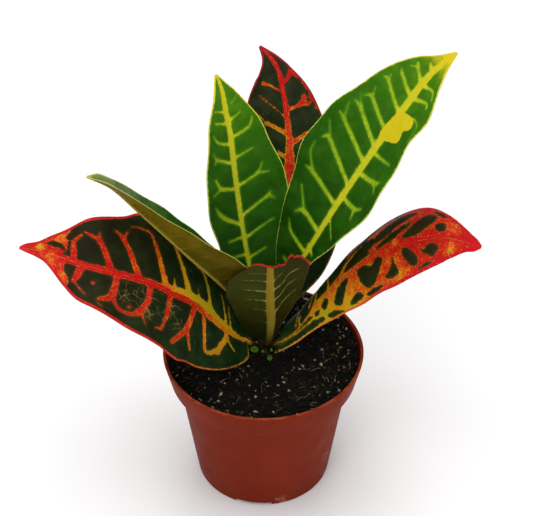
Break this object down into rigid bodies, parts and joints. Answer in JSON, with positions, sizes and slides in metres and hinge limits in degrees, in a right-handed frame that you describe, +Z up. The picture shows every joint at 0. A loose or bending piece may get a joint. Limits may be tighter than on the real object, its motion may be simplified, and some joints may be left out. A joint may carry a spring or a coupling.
{
  "type": "potted croton",
  "caption": "Young croton with broad veined leaves on a short stem, rooted in potting soil in a round plastic nursery pot.",
  "frame": {"origin": "centre of the pot's underside, on the surface that the pot stands on", "axes": "+Z up along the pot's axis, -Y towards the front, +X to the right seen from the front"},
  "size_m": [0.2593, 0.1654, 0.2784],
  "materials": {
    "pot_plastic": "smooth reddish brown moulded plastic with dusty scuffs",
    "soil": "dark moist potting mix with perlite grains and fibres",
    "stem_bark": "green-brown bark with leaf scars",
    "dark_leaf": "glossy black-green blade with red and orange veins and a red margin",
    "olive_leaf": "dull olive underside with pale veins",
    "green_leaf": "glossy green blade with yellow veins",
    "red_leaf": "glossy red and orange blade with dark green islands",
    "seedling": "soft bright green leaflet"
  },
  "bodies": {
    "root": {"pot": "pot_plastic", "soil": "soil", "stem": "stem_bark", "leaf_low_left": "dark_leaf", "leaf_mid_left": "olive_leaf", "leaf_upper_left": "green_leaf", "leaf_back": "dark_leaf", "leaf_upper_right": "green_leaf", "leaf_low_right": "red_leaf", "leaf_front_small": "olive_leaf", "seedling_left": "seedling", "seedling_front": "seedling"}
  },
  "joints": []
}
